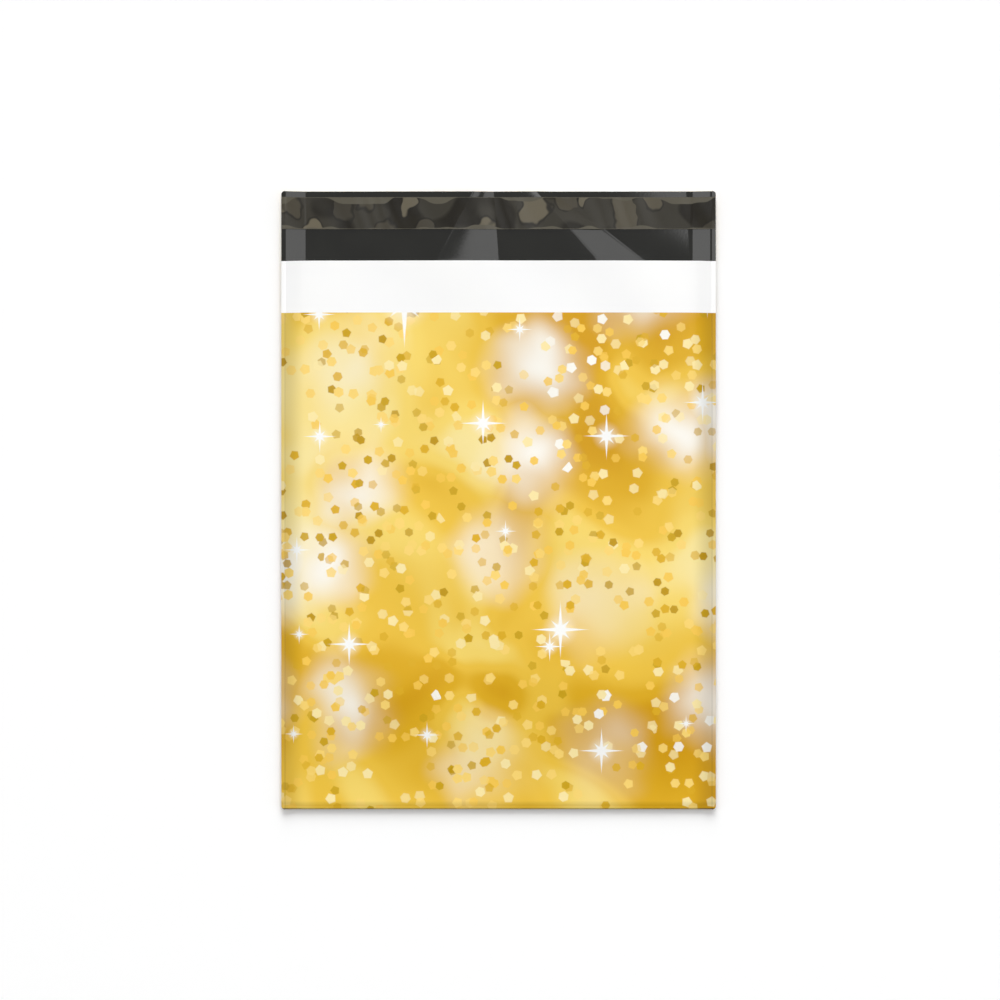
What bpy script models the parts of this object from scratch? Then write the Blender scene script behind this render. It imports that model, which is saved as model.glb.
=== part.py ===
"""Poly mailer bag, lying on its back as it rests on a table.

One sheet of printed film is folded across the bottom and heat welded up both sides, which makes
a flat pocket. The back panel runs on past the pocket's mouth as a flap. A strip of adhesive lies
on the flap's black inner face, under a full-width release liner.

Metres, +X across the bag, +Y towards the flap, +Z up. The origin is under the middle of the bag,
on the surface that it lies on.
"""

import math

import bmesh
import bpy
import numpy as np

# The bag's outline
BAG_WIDTH = 0.254
POCKET_DEPTH = 0.3205
FLAP_DEPTH = 0.0410
BARE_BAND = 0.0303
CORNER_RADIUS = 0.0020

# The film, and how close its two layers lie at the welds and the fold
FILM = 0.0000635
LAYER_GAP = 0.0001
BOTTOM_PRESS = 0.0035

# The melted bead up each side, which holds the edges of both layers
SIDE_WELD = 0.0022
WELD_BITE = 0.0006
WELD_STANDOFF = 0.0004
WELD_COVER = 0.00006
FILM_SETBACK = 0.0001

# The air between the panels: a rounded slope up from each side weld, and a low crown
SHOULDER_RISE = 0.0034
SIDE_SHOULDER = 0.0114
SHOULDER_BEND = 0.90
ROUND_RISE = 0.0006
ROUND_REACH = 0.012
BOTTOM_SHOULDER = 0.080
CROWN_RISE = 0.0026
CROWN_SHOULDER = 0.160
WAVE_HEIGHT = 0.00035
WAVES_ACROSS = 2.5
WAVES_ALONG = 3.5
WAVE_EDGE = 0.045
WAVE_BOTTOM = 0.080

# How far the welds and the bottom stand off the table
EDGE_LIFT = 0.0032
EDGE_REACH = 0.020

# The film turns in a small roll along the bottom, which hangs a little
ROLL_RADIUS = 0.0006
ROLL_REACH = 0.006
HEM_DROOP = 0.0010

# The self-seal closure
TOUCH_GAP = 0.0003
ADHESIVE_WIDTH = 0.012
ADHESIVE_THICK = 0.00012
ADHESIVE_INSET = 0.003
LINER_WIDTH = 0.0187
LINER_THICK = 0.00008
LINER_INSET = 0.0004
LINER_TOP_MARGIN = 0.0035
CRINKLE = 0.00022
CRINKLE_PITCH = 0.0205
CRINKLE_SLANT = 0.5
CRINKLE_DRIFT = 0.27
CRINKLE_DRIFT_PITCH = 0.072

# How many faces each stretch of the sheets is divided into
CORNER_STEPS = 4
FOLD_STEPS = 6
SLOPE_STEPS = 4
ROUND_STEPS = 3
HEM_STEPS = 2
LIFT_STEPS = 5
FLAP_STEPS = 9
FADE_STEPS = 6
POCKET_STEPS = 18
BAND_STEPS = 3
WELD_STEPS = 2
ADHESIVE_ROWS = 4
LINER_ROWS = 7
FILM_PITCH = 0.013
ADHESIVE_PITCH = 0.010
LINER_PITCH = 0.0048

HALF_WIDTH = BAG_WIDTH / 2
BAG_LENGTH = POCKET_DEPTH + FLAP_DEPTH
FOLD_Y = -BAG_LENGTH / 2
MOUTH_Y = FOLD_Y + POCKET_DEPTH
FLAP_END_Y = BAG_LENGTH / 2
PRINT_END_Y = MOUTH_Y - BARE_BAND
LINER_Y = FLAP_END_Y - LINER_TOP_MARGIN - LINER_WIDTH / 2

TWO_LAYERS = 2 * FILM + LAYER_GAP
ROLL_ROUND = ROLL_RADIUS - TWO_LAYERS / 2
ROLL_Y = FOLD_Y + FILM_SETBACK + ROLL_RADIUS
PRESS_Y = FOLD_Y + BOTTOM_PRESS
WELD_X = HALF_WIDTH - SIDE_WELD
PART_X = WELD_X - WELD_STANDOFF
CREASE_X = PART_X - SIDE_SHOULDER

# Soft folds across the flap: x at the mouth, how far it leans by the flap's end, and height
FLAP_FOLDS = (
    (-PART_X, 0.0, EDGE_LIFT),
    (-CREASE_X, 0.0, 0.0),
    (-0.0374, 0.0234, 0.0017),
    (0.0006, -0.0036, 0.0),
    (0.0590, -0.0370, 0.0017),
    (0.0854, -0.0554, 0.0),
    (CREASE_X, 0.0, 0.0009),
    (PART_X, 0.0, EDGE_LIFT),
)
FOLD_FADE = 0.045

GOLD = (0.84, 0.56, 0.08, 1.0)
WHITE = (0.90, 0.90, 0.90, 1.0)
BLACK = (0.020, 0.020, 0.018, 1.0)
GLUE = (0.20, 0.17, 0.10, 1.0)
LINER_GREY = (0.10, 0.10, 0.08, 1.0)


def clear_scene():
    for obj in list(bpy.data.objects):
        bpy.data.objects.remove(obj, do_unlink=True)


def make_collection(name):
    collection = bpy.data.collections.new(name)
    bpy.context.scene.collection.children.link(collection)
    return collection


def make_material(name, colour, roughness):
    material = bpy.data.materials.new(name)
    material.use_nodes = True
    shader = material.node_tree.nodes["Principled BSDF"]
    shader.inputs["Base Color"].default_value = colour
    shader.inputs["Roughness"].default_value = roughness
    shader.inputs["Metallic"].default_value = 0.0
    material.diffuse_color = colour
    return material


def ease(distance, reach):
    """0 at no distance, 1 past reach, with a smooth start and end."""
    part = min(max(distance / reach, 0.0), 1.0)
    return part * part * (3.0 - 2.0 * part)


def swell(distance, reach):
    """0 at no distance, 1 past reach, steepest at the start like a blown film edge."""
    part = min(max(distance / reach, 0.0), 1.0)
    return math.sin(part * math.pi / 2)


def flap_part(x, part):
    """How far the flap's column that starts at x leans (1), or how high it lies (2)."""
    places = [fold[0] for fold in FLAP_FOLDS]
    return float(np.interp(x, places, [fold[part] for fold in FLAP_FOLDS]))


def column_x(x, y):
    """A column of the sheet runs straight up the pocket, and leans with the folds in the flap."""
    return x + flap_part(x, 1) * max(y - MOUTH_Y, 0.0) / FLAP_DEPTH


def hem_part(x, y):
    """0 in the open film, 1 in the roll along the bottom, which ends short of the welds."""
    return ease(PRESS_Y - y, PRESS_Y - ROLL_Y) * ease(PART_X - abs(x), ROLL_REACH)


def back_height(x, y):
    """Height of the outer face of the back panel and the flap.

    The panel lies on the table, lifted at the welds and the bottom. Towards the mouth it takes
    the height of the flap's soft folds. X is the column's place below the mouth.
    """
    side_lift = EDGE_LIFT * (1.0 - ease(PART_X - abs(x), EDGE_REACH))
    bottom_lift = EDGE_LIFT * (1.0 - ease(y - PRESS_Y, EDGE_REACH))
    lying = max(side_lift, bottom_lift)
    folded = (flap_part(x, 2) - lying) * ease(y - MOUTH_Y + FOLD_FADE, FOLD_FADE)
    return lying + folded - (HEM_DROOP + ROLL_ROUND) * hem_part(x, y)


def pocket_height(x, y):
    """How far the two panels stand apart, beyond the gap that they keep where pressed."""
    from_weld = PART_X - abs(x)
    from_press = y - PRESS_Y
    across = max(1.0 - (x / PART_X) ** 2, 0.0)
    shoulder = SHOULDER_RISE * swell(SHOULDER_BEND * from_weld, SIDE_SHOULDER)
    shoulder += ROUND_RISE * swell(from_weld - SIDE_SHOULDER, ROUND_REACH)
    shoulder *= ease(from_press, BOTTOM_SHOULDER)
    crown = CROWN_RISE * across * ease(from_press, CROWN_SHOULDER)
    turns = WAVES_ACROSS * x / BAG_WIDTH + WAVES_ALONG * y / POCKET_DEPTH
    wave = WAVE_HEIGHT * math.sin(2 * math.pi * turns)
    wave *= ease(from_weld, WAVE_EDGE) * ease(from_press, WAVE_BOTTOM)
    return shoulder + crown + wave


def front_height(x, y):
    """Height of the front panel's outer face."""
    hem = (ROLL_ROUND - HEM_DROOP) * hem_part(x, y)
    return EDGE_LIFT + TWO_LAYERS + pocket_height(x, y) + hem


def stops(*marks):
    """Positions from pairs of a place and the number of steps that lead to it."""
    places = [marks[0][0]]
    for place, steps in marks[1:]:
        start = places[-1]
        places += [start + (place - start) * (i + 1) / steps for i in range(steps)]
    return places


def paced(places, pitch):
    """Positions through these places, with steps of about this pitch between them."""
    marks = [(places[0], 0)]
    for last, place in zip(places, places[1:]):
        marks.append((place, max(1, round((place - last) / pitch))))
    return stops(*marks)


def make_grid(columns, rows):
    """A bmesh grid whose vertices hold a column's x, a row's number in y, and no height."""
    grid = bmesh.new()
    bmesh.ops.create_grid(
        grid, x_segments=len(columns) - 1, y_segments=len(rows) - 1, size=1.0
    )
    for vert in grid.verts:
        column = round((vert.co.x + 1.0) / 2.0 * (len(columns) - 1))
        row = round((vert.co.y + 1.0) / 2.0 * (len(rows) - 1))
        vert.co = (columns[column], row, 0.0)
    return grid


def as_object(name, grid):
    mesh = bpy.data.meshes.new(name)
    grid.to_mesh(mesh)
    grid.free()
    return bpy.data.objects.new(name, mesh)


def thicken(obj, thickness, offset, inner_slots=0):
    solidify = obj.modifiers.new("thickness", "SOLIDIFY")
    solidify.thickness = thickness
    solidify.offset = offset
    solidify.use_even_offset = True
    solidify.material_offset = inner_slots
    solidify.material_offset_rim = 0


def weld_on(obj, other, name):
    boolean = obj.modifiers.new(name, "BOOLEAN")
    boolean.operation = "UNION"
    boolean.solver = "EXACT"
    boolean.material_mode = "TRANSFER"
    boolean.object = other


def film_rows():
    """The film's rows as (y, turn): down the back, round the fold, and up the front.

    Turn is 0 on the back panel, 1 on the front panel, and in between round the fold.
    """
    back = stops(
        (FLAP_END_Y - FILM_SETBACK, 0), (MOUTH_Y, FLAP_STEPS), (MOUTH_Y - FOLD_FADE, FADE_STEPS),
        (PRESS_Y + EDGE_REACH, 1), (PRESS_Y, LIFT_STEPS), (ROLL_Y, HEM_STEPS),
    )
    turns = [(i + 1) / FOLD_STEPS for i in range(FOLD_STEPS - 1)]
    roll = [(ROLL_Y, turn) for turn in turns]
    front = stops(
        (ROLL_Y, 0), (PRESS_Y, HEM_STEPS), (PRESS_Y + EDGE_REACH, BAND_STEPS),
        (PRINT_END_Y, POCKET_STEPS), (MOUTH_Y, BAND_STEPS),
    )
    return [(y, 0.0) for y in back] + roll + [(y, 1.0) for y in front]


def roll_place(x, turn):
    """Where the film's outer face is in the roll along the bottom, which is flatter at its ends."""
    middle = EDGE_LIFT + TWO_LAYERS / 2 - HEM_DROOP * hem_part(x, ROLL_Y)
    radius = TWO_LAYERS / 2 + ROLL_ROUND * hem_part(x, ROLL_Y)
    y = FOLD_Y + FILM_SETBACK + radius * (1.0 - math.sin(math.pi * turn))
    return (x, y, middle - radius * math.cos(math.pi * turn))


def film_place(x, y, turn):
    """Where the film's outer face is, for a column that is at x in the pocket."""
    if y < ROLL_Y + FILM:
        return roll_place(x, turn)
    if turn == 1.0:
        return (x, y, front_height(x, y))
    return (column_x(x, y), y, back_height(x, y))


def make_folded_sheet(materials):
    """The printed sheet, folded across the bottom, black on its inner side."""
    round_x = CREASE_X - ROUND_REACH
    middle = [-round_x] + [fold[0] for fold in FLAP_FOLDS if abs(fold[0]) < round_x] + [round_x]
    left = stops(
        (-WELD_X - WELD_BITE, 0), (-PART_X, 1), (-CREASE_X, SLOPE_STEPS), (-round_x, ROUND_STEPS)
    )
    right = [-x for x in reversed(left)]
    columns = left[:-1] + paced(middle, FILM_PITCH) + right[1:]
    rows = film_rows()
    grid = make_grid(columns, rows)
    for face in grid.faces:
        on_front = all(rows[round(v.co.y)][1] == 1.0 for v in face.verts)
        lowest_y = min(rows[round(v.co.y)][0] for v in face.verts)
        face.material_index = 1 if on_front and lowest_y > PRINT_END_Y - FILM else 0
    for vert in grid.verts:
        y, turn = rows[round(vert.co.y)]
        vert.co = film_place(vert.co.x, y, turn)
    film = as_object("bag_film", grid)
    for name in ("print", "bare", "inside", "inside"):
        film.data.materials.append(materials[name])
    thicken(film, FILM, -1.0, 2)
    return film


def make_side_weld(side, materials, tools):
    """The bead that melts both layers together along one side, from the fold to the flap's end."""
    past_mouth_y = MOUTH_Y + WELD_BITE
    rows = stops(
        (FOLD_Y, 0), (PRESS_Y, 1), (PRINT_END_Y, WELD_STEPS), (past_mouth_y, 1), (FLAP_END_Y, 1),
    )
    columns = sorted((side * WELD_X, side * HALF_WIDTH))
    grid = make_grid(columns, rows)
    for face in grid.faces:
        y = rows[round(max(v.co.y for v in face.verts))]
        face.material_index = 0 if y <= PRINT_END_Y else 1 if y <= past_mouth_y else 2
    for vert in grid.verts:
        vert.co.y = rows[round(vert.co.y)]
    corners = [
        v for v in grid.verts
        if abs(v.co.x) > WELD_X + WELD_BITE and v.co.y in (rows[0], rows[-1])
    ]
    bmesh.ops.bevel(
        grid, geom=corners, offset=CORNER_RADIUS, segments=CORNER_STEPS, profile=0.5,
        affect="VERTICES",
    )
    for vert in grid.verts:
        vert.co.z = EDGE_LIFT - WELD_COVER
    bead = as_object("left_weld" if side < 0 else "right_weld", grid)
    for name in ("print", "print", "print", "print", "bare", "inside"):
        bead.data.materials.append(materials[name])
    thicken(bead, TWO_LAYERS + 2 * WELD_COVER, 1.0, 3)
    bead.hide_render = True
    bead.display_type = "WIRE"
    tools.objects.link(bead)
    return bead


def make_bag_film(materials, parts, tools):
    """The folded sheet with its two side welds: one piece of film."""
    film = make_folded_sheet(materials)
    for side in (-1, 1):
        weld_on(film, make_side_weld(side, materials, tools), "side weld")
    parts.objects.link(film)
    return film


def make_strip(name, half_length, half_width, pitch, row_count, height):
    """A thin strip that lies across the flap, height(x, y) above the flap's inner face."""
    folds = [fold[0] for fold in FLAP_FOLDS if abs(fold[0]) < half_length]
    columns = paced([-half_length] + folds + [half_length], pitch)
    rows = stops((LINER_Y - half_width, 0), (LINER_Y + half_width, row_count))
    grid = make_grid(columns, rows)
    for vert in grid.verts:
        y = rows[round(vert.co.y)]
        x = column_x(vert.co.x, y)
        vert.co = (x, y, back_height(vert.co.x, y) + FILM + height(x, y))
    return as_object(name, grid)


def make_adhesive_strip(materials, parts):
    def height(x, y):
        return TOUCH_GAP

    strip = make_strip(
        "adhesive_strip", WELD_X - ADHESIVE_INSET, ADHESIVE_WIDTH / 2, ADHESIVE_PITCH,
        ADHESIVE_ROWS, height,
    )
    strip.data.materials.append(materials["glue"])
    thicken(strip, ADHESIVE_THICK, 1.0)
    parts.objects.link(strip)
    return strip


def make_release_liner(materials, parts):
    """Thin tape over the adhesive, crinkled where it isn't stuck down."""

    def height(x, y):
        drift = CRINKLE_DRIFT * math.sin(2 * math.pi * x / CRINKLE_DRIFT_PITCH)
        turns = (x + CRINKLE_SLANT * (y - LINER_Y)) / CRINKLE_PITCH + drift
        ripple = math.sin(2 * math.pi * turns)
        return 2 * TOUCH_GAP + ADHESIVE_THICK + CRINKLE * (1.0 + ripple)

    liner = make_strip(
        "release_liner", HALF_WIDTH - LINER_INSET, LINER_WIDTH / 2, LINER_PITCH, LINER_ROWS,
        height,
    )
    liner.data.materials.append(materials["liner"])
    thicken(liner, LINER_THICK, 1.0)
    parts.objects.link(liner)
    return liner


def shade(obj):
    obj.data.shade_smooth()
    obj.data.set_sharp_from_angle(angle=math.radians(40))


def main():
    clear_scene()
    parts = make_collection("poly_mailer_bag")
    tools = make_collection("poly_mailer_bag_tools")
    materials = {
        "print": make_material("gold_print", GOLD, 0.35),
        "bare": make_material("white_film", WHITE, 0.35),
        "inside": make_material("black_film", BLACK, 0.30),
        "glue": make_material("adhesive", GLUE, 0.45),
        "liner": make_material("liner", LINER_GREY, 0.15),
    }
    pieces = [
        make_bag_film(materials, parts, tools),
        make_adhesive_strip(materials, parts),
        make_release_liner(materials, parts),
    ]
    for piece in pieces:
        shade(piece)


main()
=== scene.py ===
"""Looks of the poly mailer bag: printed film, black flap, crinkled release liner, and a soft studio.

Metres, +X across the bag, +Y towards the flap, +Z up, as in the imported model.
"""

import math

import bpy
import numpy as np
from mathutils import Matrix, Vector, noise


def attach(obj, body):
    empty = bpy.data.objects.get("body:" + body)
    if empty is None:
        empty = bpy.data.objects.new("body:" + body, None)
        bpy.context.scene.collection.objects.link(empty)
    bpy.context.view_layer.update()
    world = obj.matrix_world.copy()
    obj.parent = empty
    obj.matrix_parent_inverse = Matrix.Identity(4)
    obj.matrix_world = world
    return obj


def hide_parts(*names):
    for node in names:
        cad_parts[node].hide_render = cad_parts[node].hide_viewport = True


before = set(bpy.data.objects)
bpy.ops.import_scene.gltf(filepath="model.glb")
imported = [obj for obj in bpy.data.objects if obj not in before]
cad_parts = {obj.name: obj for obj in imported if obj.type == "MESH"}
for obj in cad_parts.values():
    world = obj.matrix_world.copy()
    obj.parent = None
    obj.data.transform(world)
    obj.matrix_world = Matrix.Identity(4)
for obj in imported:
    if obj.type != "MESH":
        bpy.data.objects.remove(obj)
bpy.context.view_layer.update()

# The bag's outline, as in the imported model
BAG_WIDTH = 0.254
POCKET_DEPTH = 0.3205
FLAP_DEPTH = 0.0410
BARE_BAND = 0.0303
CORNER_RADIUS = 0.0020
FILM = 0.0000635
LAYER_GAP = 0.0001
BOTTOM_PRESS = 0.0035
SIDE_WELD = 0.0022
WELD_BITE = 0.0006
WELD_STANDOFF = 0.0004
WELD_COVER = 0.00006
FILM_SETBACK = 0.0001

# The air in the pocket
SHOULDER_RISE = 0.0034
SIDE_SHOULDER = 0.0114
SHOULDER_BEND = 0.90
ROUND_RISE = 0.0006
ROUND_REACH = 0.012
BOTTOM_SHOULDER = 0.080
CROWN_RISE = 0.0026
CROWN_SHOULDER = 0.160
WAVE_HEIGHT = 0.00035
WAVES_ACROSS = 2.5
WAVES_ALONG = 3.5
WAVE_EDGE = 0.045
WAVE_BOTTOM = 0.080

# How the welds and the bottom stand off the table, and the film's roll along the bottom
EDGE_LIFT = 0.0032
EDGE_REACH = 0.020
ROLL_RADIUS = 0.0006
ROLL_REACH = 0.006
HEM_DROOP = 0.0010

# The closure
TOUCH_GAP = 0.0003
ADHESIVE_WIDTH = 0.012
ADHESIVE_THICK = 0.00012
ADHESIVE_INSET = 0.003
LINER_WIDTH = 0.0187
LINER_THICK = 0.00008
LINER_INSET = 0.0004
LINER_TOP_MARGIN = 0.0035
CRINKLE = 0.00022
CRINKLE_PITCH = 0.0205
CRINKLE_SLANT = 0.5
CRINKLE_DRIFT = 0.27
CRINKLE_DRIFT_PITCH = 0.072

HALF_WIDTH = BAG_WIDTH / 2
BAG_LENGTH = POCKET_DEPTH + FLAP_DEPTH
FOLD_Y = -BAG_LENGTH / 2
MOUTH_Y = FOLD_Y + POCKET_DEPTH
FLAP_END_Y = BAG_LENGTH / 2
PRINT_END_Y = MOUTH_Y - BARE_BAND
LINER_Y = FLAP_END_Y - LINER_TOP_MARGIN - LINER_WIDTH / 2
TWO_LAYERS = 2 * FILM + LAYER_GAP
ROLL_ROUND = ROLL_RADIUS - TWO_LAYERS / 2
ROLL_Y = FOLD_Y + FILM_SETBACK + ROLL_RADIUS
PRESS_Y = FOLD_Y + BOTTOM_PRESS
WELD_X = HALF_WIDTH - SIDE_WELD
PART_X = WELD_X - WELD_STANDOFF
CREASE_X = PART_X - SIDE_SHOULDER

# Soft folds across the flap: x at the mouth, how far it leans by the flap's end, and height
FLAP_FOLDS = (
    (-PART_X, 0.0, EDGE_LIFT),
    (-CREASE_X, 0.0, 0.0),
    (-0.0374, 0.0234, 0.0017),
    (0.0006, -0.0036, 0.0),
    (0.0590, -0.0370, 0.0017),
    (0.0854, -0.0554, 0.0),
    (CREASE_X, 0.0, 0.0009),
    (PART_X, 0.0, EDGE_LIFT),
)
FOLD_FADE = 0.045

# Fine unevenness of the film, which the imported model's few faces leave out
RIPPLE = 0.00007
RIPPLE_LENGTH = 0.034
RIPPLE_SLICE = 0.3
PUCKER = 0.00006
PUCKER_PITCH = 0.011
PUCKER_STRETCH = 0.25
PUCKER_SLICE = 7.1
PUCKER_EDGE = 0.008
PUCKER_REACH = 0.022
LINER_CRUMPLE = 0.00010
LINER_CRUMPLE_LENGTH = 0.0120
LINER_CRUMPLE_STRETCH = 0.6
LINER_CRUMPLE_SLICE = 2.3

# Steps of the meshes, and the angle in degrees under which their faces are smoothed
ROLL_STEPS = 8
CORNER_STEPS = 6
ADHESIVE_STEPS = (150, 8)
LINER_STEPS = (380, 28)
FILM_SMOOTH = 14
ADHESIVE_SMOOTH = 30
LINER_SMOOTH = 40

# From this part of the half turn round the fold, the film counts as the front
FRONT_TURN = 0.45

# The print's clouds, with scales in turns per metre, and its pale glows
CLOUD_SCALE = 11.0
BROAD_SCALE = 6.0
BROAD_SHARE = 0.3
BROAD_SHIFT = (3.7, 1.9, 0.0)
CLOUD_DEEP = 0.32
CLOUD_CREAM = 0.68
GLOW_PITCH = 0.076
GLOW_RANDOMNESS = 0.85
GLOW_REACH = 0.50
GLOW_FAINTEST = 0.25
GLOW_SHIFT = (2.31, 0.77, 0.0)
GLOW_WANDER_SCALE = 24.0
GLOW_WANDER = 0.030

# Its flakes: how far apart they are, how soft their edges are and how they crowd together
FLAKE_PITCH = 0.0148
FLAKE_SMALLEST = 0.86
FLAKE_LARGEST = 1.04
FLAKE_EDGE_OUT = -0.00028
FLAKE_EDGE_IN = 0.00034
FLAKE_CROWD_SCALE = 21.0
FLAKE_CROWDING = 1.3
FLAKE_LUCK = 0.72
FLAKE_LUCK_FACTOR = 7.31
FLAKE_FAINTEST = 0.60

# Each scatter of flakes: shift, number of sides, radius and share of the places that hold one
FLAKES = (
    ((0.513, 0.217, 0.0), 5.0, 0.00262, 0.58),
    ((1.731, 0.942, 0.0), 6.0, 0.00268, 0.58),
    ((2.389, 1.653, 0.0), 5.0, 0.00258, 0.58),
    ((0.871, 2.418, 0.0), 6.0, 0.00262, 0.52),
)

# Its glints, with widths and short rays as parts of the long ray's length
GLINT_RANDOMNESS = 0.62
GLINT_SMALLEST = 0.7
GLINT_LARGEST = 1.15
GLINT_SLIM = 0.085
GLINT_SHORT = 0.46
GLINT_STOUT = 0.10
GLINT_CORE = 0.13
GLINT_CORE_EDGE = 0.24
GLINT_GLOW = 0.62
GLINT_GLOW_STRENGTH = 0.65

# Each scatter of glints: shift, pitch, length of the long rays and share of the places that hold one
GLINTS = (
    ((0.331, 0.604, 0.0), 0.071, 0.0135, 0.72),
    ((1.117, 1.823, 0.0), 0.058, 0.0078, 0.34),
    ((1.895, 0.413, 0.0), 0.160, 0.0260, 0.55),
)

# Painted shade on the slopes beside the welds, at the bottom crease and on the fold, and a darker line along
# each weld, as parts of the shade at the welds; the white film's negative part paints light there instead
GOLD_PAINTED_SHADE = 0.25
WHITE_PAINTED_LIGHT = -0.02
SHADE_MARGIN = 0.0010
GROOVE_FULL = 0.0001
GROOVE_REACH = 0.0006
GROOVE_SHADE = 0.5
CREASE_REACH = 0.0018
CREASE_SHADE = 0.4
FOLD_FULL = 0.0003
FOLD_REACH = 0.0010
FOLD_SHADE = 2.8

# The grain of blown film, in turns per metre and metres
GRAIN_SCALE = 900.0
GRAIN_HEIGHT = 0.000004

# Each scatter of air pockets under the tape, paler patches that are partly a painted reflection: shift,
# pitch and share of the places that hold one
AIR_POCKETS = (
    ((0.31, 0.47, 0.0), 0.0210, 0.62),
    ((0.93, 0.22, 0.0), 0.0260, 0.45),
)
AIR_STRETCH = (1.0, 0.62, 1.0)
AIR_RANDOMNESS = 0.85
AIR_WANDER_SCALE = 95.0
AIR_WANDER = 0.011
AIR_SMALLEST = 0.18
AIR_LARGEST = 0.36
AIR_EDGE = 0.050
AIR_RIM_START = -0.045
AIR_RIM_END = -0.005
AIR_RIM_SHADE = 0.55

# The tape's loose edges, paler and partly painted light: the edge's y, the row of the noise that is read and
# the widest tongue
LOOSE_EDGES = (
    (LINER_Y - LINER_WIDTH / 2, 0.12, 0.0027),
    (LINER_Y + LINER_WIDTH / 2, 0.59, 0.0042),
)
TONGUE_SCALE = 42.0
TONGUE_NARROWEST = 0.0004
TONGUE_EDGE_OUT = -0.0001
TONGUE_EDGE_IN = 0.0004

# Where the tape has come off in wide, paler patches, partly a painted reflection of the lamps
LOOSE_SCALE = 26.0
LOOSE_SHIFT = (1.7, 0.4, 0.0)
LOOSE_START = 0.48
LOOSE_FULL = 0.54

PRINT_MAP = "print"
BAKE_MAP = "OFBake"

# Where the film's faces lie on the bake map: start across, start up, scale across and scale up
BAKE_FRONT = (0.004, 0.004, 2.47, 2.47)
BAKE_BACK = (0.640, 0.004, 1.38, 1.38)
BAKE_FLAP = (0.640, 0.520, 1.38, 1.38)
BAKE_FRONT_LINING = (0.004, 0.80, 0.9, 0.55)
BAKE_BACK_LINING = (0.304, 0.80, 0.9, 0.55)
BAKE_EDGES = (0.66, 0.62, 1.2, 0.1)
BAKE_EDGE_RISE = 80.0
STEEP = 0.3

# The camera, which looks straight down
CAMERA_PLACE = (0.00084, 0.0001, 2.4)
LENS = 147.6
SENSOR = 36.0

# The floor and the sky
FLOOR_SIZE = 30.0
FLOOR_Z = -0.00005
FLOOR_WHITE = 0.98
FLOOR_GLOW = 0.065
SKY_AT_HORIZON = 0.08
SKY_ABOVE = 0.19

# Far lamps: name, direction, degrees off the vertical, breadth in degrees and share of flat paper's light
FAR_LAMPS = (
    ("key", (0.0, 1.0), 60.0, 46.0, 0.50),
    ("left_fill", (-1.0, 0.0), 60.0, 44.0, 0.055),
    ("right_fill", (1.0, 0.0), 60.0, 44.0, 0.055),
)

# Softboxes: name, place, what they point at, size and brightness
SOFTBOXES = (
    ("left_strip", (-0.72, 0.0, 2.6), (0.0, 0.0, 0.0), (0.22, 1.4), 5.0),
    ("right_strip", (0.72, 0.0, 2.6), (0.0, 0.0, 0.0), (0.22, 1.4), 3.0),
    ("flap_card", (0.93, 0.38, 3.2), (0.93, 0.38, 0.0), (1.60, 0.30), 3.0),
    ("far_card", (0.95, 0.90, 3.2), (0.95, 0.90, 0.0), (1.10, 0.70), 2.8),
    ("right_card", (-1.05, 0.38, 3.2), (-1.05, 0.38, 0.0), (0.60, 0.30), 3.2),
)


def ease(distance, reach):
    part = min(max(distance / reach, 0.0), 1.0)
    return part * part * (3.0 - 2.0 * part)


def swell(distance, reach):
    part = min(max(distance / reach, 0.0), 1.0)
    return math.sin(part * math.pi / 2)


def flap_part(x, part):
    """How far the flap's column that starts at x leans, or how high it lies."""
    places = [fold[0] for fold in FLAP_FOLDS]
    return float(np.interp(x, places, [fold[part] for fold in FLAP_FOLDS]))


def column_x(x, y):
    """A column of the sheet runs straight up the pocket, and leans with the folds across the flap."""
    return x + flap_part(x, 1) * max(y - MOUTH_Y, 0.0) / FLAP_DEPTH


def hem_part(x, y):
    """0 in the open film, 1 in the roll along the bottom, which ends short of the welds."""
    return ease(PRESS_Y - y, PRESS_Y - ROLL_Y) * ease(PART_X - abs(x), ROLL_REACH)


def back_height(x, y):
    """The outer face of the back panel and the flap, for the column that is at x below the mouth."""
    side_lift = EDGE_LIFT * (1.0 - ease(PART_X - abs(x), EDGE_REACH))
    fold_lift = EDGE_LIFT * (1.0 - ease(y - PRESS_Y, EDGE_REACH))
    lying = max(side_lift, fold_lift)
    folded = (flap_part(x, 2) - lying) * ease(y - MOUTH_Y + FOLD_FADE, FOLD_FADE)
    return lying + folded - (HEM_DROOP + ROLL_ROUND) * hem_part(x, y)


def pocket_height(x, y):
    from_weld = PART_X - abs(x)
    from_press = y - PRESS_Y
    across = max(1.0 - (x / PART_X) ** 2, 0.0)
    shoulder = SHOULDER_RISE * swell(SHOULDER_BEND * from_weld, SIDE_SHOULDER)
    shoulder += ROUND_RISE * swell(from_weld - SIDE_SHOULDER, ROUND_REACH)
    shoulder *= ease(from_press, BOTTOM_SHOULDER)
    crown = CROWN_RISE * across * ease(from_press, CROWN_SHOULDER)
    turns = WAVES_ACROSS * x / BAG_WIDTH + WAVES_ALONG * y / POCKET_DEPTH
    wave = WAVE_HEIGHT * math.sin(2 * math.pi * turns)
    wave *= ease(from_weld, WAVE_EDGE) * ease(from_press, WAVE_BOTTOM)
    return shoulder + crown + wave


def ripples(x, y):
    """Small unevenness of the front panel, none at the welds and the fold."""
    inside = CREASE_X - abs(x)
    ripple = RIPPLE * noise.noise(Vector((x, y, RIPPLE_SLICE)) / RIPPLE_LENGTH)
    ripple *= ease(inside, EDGE_REACH) * ease(y - PRESS_Y, EDGE_REACH)
    place = Vector((x * PUCKER_STRETCH, y, PUCKER_SLICE))
    pucker = PUCKER * noise.noise(place / PUCKER_PITCH)
    pucker *= ease(inside, PUCKER_EDGE) * (1.0 - ease(inside, PUCKER_REACH))
    return ripple + pucker


def front_height(x, y):
    hem = (ROLL_ROUND - HEM_DROOP) * hem_part(x, y)
    return EDGE_LIFT + TWO_LAYERS + pocket_height(x, y) + ripples(x, y) + hem


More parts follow.
